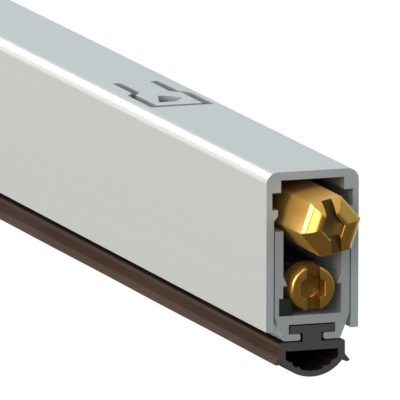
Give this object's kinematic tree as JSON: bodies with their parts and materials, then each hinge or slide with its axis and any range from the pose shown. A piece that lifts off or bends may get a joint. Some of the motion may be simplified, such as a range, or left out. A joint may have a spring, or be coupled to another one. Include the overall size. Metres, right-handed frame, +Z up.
{
  "type": "automatic door bottom seal",
  "caption": "Concealed automatic door bottom seal: aluminium channel with a push rod that drops a carrier bar and its hollow rubber gasket.",
  "frame": {"origin": "centre of the casing's roof, on its outer face", "axes": "+X along the bar towards the push knob, +Y across the bar, +Z up out of the roof"},
  "size_m": [0.3388, 0.014, 0.03],
  "materials": {
    "anodised_aluminium": "satin natural anodised extrusion",
    "bar_aluminium": "satin natural anodised extrusion",
    "seal_rubber": "dark brown matt rubber",
    "strip_plastic": "dark grey plastic",
    "brass": "bright turned and milled brass",
    "black_nylon": "black moulded nylon",
    "steel": "drawn zinc plated steel",
    "spring_steel": "blued spring steel"
  },
  "bodies": {
    "casing": {"casing": "anodised_aluminium", "rod_guide": "black_nylon", "front_anchor": "black_nylon", "rear_anchor": "black_nylon", "anchor_pins": "steel", "grub_screws": "steel"},
    "push_rod": {"push_rod": "steel", "front_slider": "black_nylon", "rear_slider": "black_nylon", "slider_pins": "steel", "rod_pins": "steel", "lock_nut": "steel", "spring_washer": "steel", "return_spring": "spring_steel"},
    "push_knob": {"push_knob": "brass"},
    "drop_bar": {"drop_bar": "bar_aluminium", "gasket": "seal_rubber", "corner_strip": "strip_plastic", "front_shoe": "black_nylon", "rear_shoe": "black_nylon", "shoe_rivets": "steel", "front_leaf_spring": "spring_steel", "rear_leaf_spring": "spring_steel", "screw_block": "black_nylon"},
    "adjusting_screw": {"adjusting_screw": "brass"}
  },
  "joints": [
    {"name": "knob_push", "type": "slide", "parent": "casing", "child": "push_rod", "axis": [-1, 0, 0], "range_m": [0, 0.0062], "stiffness_N_per_m": 1500, "springref_m": -0.006, "deforming": ["return_spring"]},
    {"name": "seal_drop", "type": "slide", "parent": "casing", "child": "drop_bar", "axis": [0, 0, -1], "range_m": [0, 0.01], "deforming": ["front_leaf_spring", "rear_leaf_spring"]},
    {"name": "knob_turn", "type": "hinge", "parent": "push_rod", "child": "push_knob", "pos_m": [0.165, 0, -0.0068], "axis": [1, 0, 0], "continuous": true},
    {"name": "screw_turn", "type": "hinge", "parent": "drop_bar", "child": "adjusting_screw", "pos_m": [0.165, 0, -0.0171], "axis": [1, 0, 0], "continuous": true}
  ],
  "couplings": [
    {"joint": "seal_drop", "follows": "knob_push", "ratio": 1.6}
  ]
}
